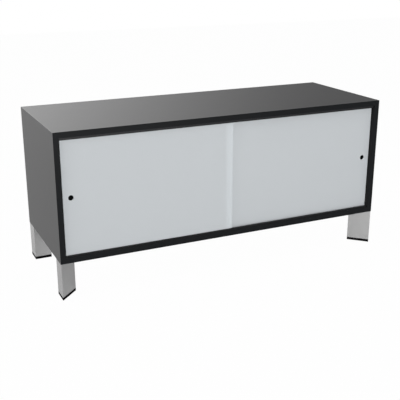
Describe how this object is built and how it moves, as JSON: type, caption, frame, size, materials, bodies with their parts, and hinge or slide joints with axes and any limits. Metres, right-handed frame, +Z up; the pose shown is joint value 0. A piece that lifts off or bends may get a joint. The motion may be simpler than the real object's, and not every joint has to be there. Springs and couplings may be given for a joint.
{
  "type": "sliding door cabinet",
  "caption": "Low sideboard: a black mitred board body on triangular metal legs, with satin glass doors that slide past each other in tracks.",
  "frame": {"origin": "on the floor, below the middle of the body", "axes": "+X to the right along the width, +Y to the rear (the doors face -Y), +Z up"},
  "size_m": [1.2, 0.434, 0.55],
  "materials": {
    "carcass_board": "chipboard faced with satin black melamine",
    "edge_band": "satin black ABS edge band",
    "door_track": "black extruded plastic",
    "door_glass": "satin etched glass, cool white",
    "glide": "natural white acetal",
    "end_stop": "black rubber",
    "leg_profile": "brushed and anodised aluminium extrusion",
    "leg_block": "die-cast, as cast",
    "foot": "black moulded polyethylene",
    "joint_wood": "raw beech",
    "steel_hardware": "zinc-plated steel",
    "black_screw": "black phosphated steel"
  },
  "bodies": {
    "cabinet": {"back_panel": "carcass_board", "back_panel_screws": "black_screw", "bottom_front_edge_band": "edge_band", "bottom_panel": "carcass_board", "bottom_rear_edge_band": "edge_band", "centre_partition": "carcass_board", "front_left_foot": "foot", "front_left_leg": "leg_profile", "front_left_leg_block": "leg_block", "front_right_foot": "foot", "front_right_leg": "leg_profile", "front_right_leg_block": "leg_block", "left_shelf": "carcass_board", "left_shelf_edge_band": "edge_band", "left_shelf_pins": "steel_hardware", "left_side_front_edge_band": "edge_band", "left_side_panel": "carcass_board", "left_side_rear_edge_band": "edge_band", "leg_bolts": "steel_hardware", "leg_inserts": "steel_hardware", "lower_door_track": "door_track", "mitre_splines": "joint_wood", "partition_dowels": "joint_wood", "partition_edge_band": "edge_band", "rear_left_foot": "foot", "rear_left_leg": "leg_profile", "rear_left_leg_block": "leg_block", "rear_right_foot": "foot", "rear_right_leg": "leg_profile", "rear_right_leg_block": "leg_block", "right_shelf": "carcass_board", "right_shelf_edge_band": "edge_band", "right_shelf_pins": "steel_hardware", "right_side_front_edge_band": "edge_band", "right_side_panel": "carcass_board", "right_side_rear_edge_band": "edge_band", "top_front_edge_band": "edge_band", "top_panel": "carcass_board", "top_rear_edge_band": "edge_band", "track_end_stops": "end_stop", "upper_door_track": "door_track"},
    "left_door": {"left_door_glides": "glide", "left_door_pane": "door_glass"},
    "right_door": {"right_door_glides": "glide", "right_door_pane": "door_glass"}
  },
  "joints": [
    {"name": "left_door_slide", "type": "slide", "parent": "cabinet", "child": "left_door", "axis": [1, 0, 0], "range_m": [0, 0.571]},
    {"name": "right_door_slide", "type": "slide", "parent": "cabinet", "child": "right_door", "axis": [1, 0, 0], "range_m": [-0.571, 0]}
  ]
}
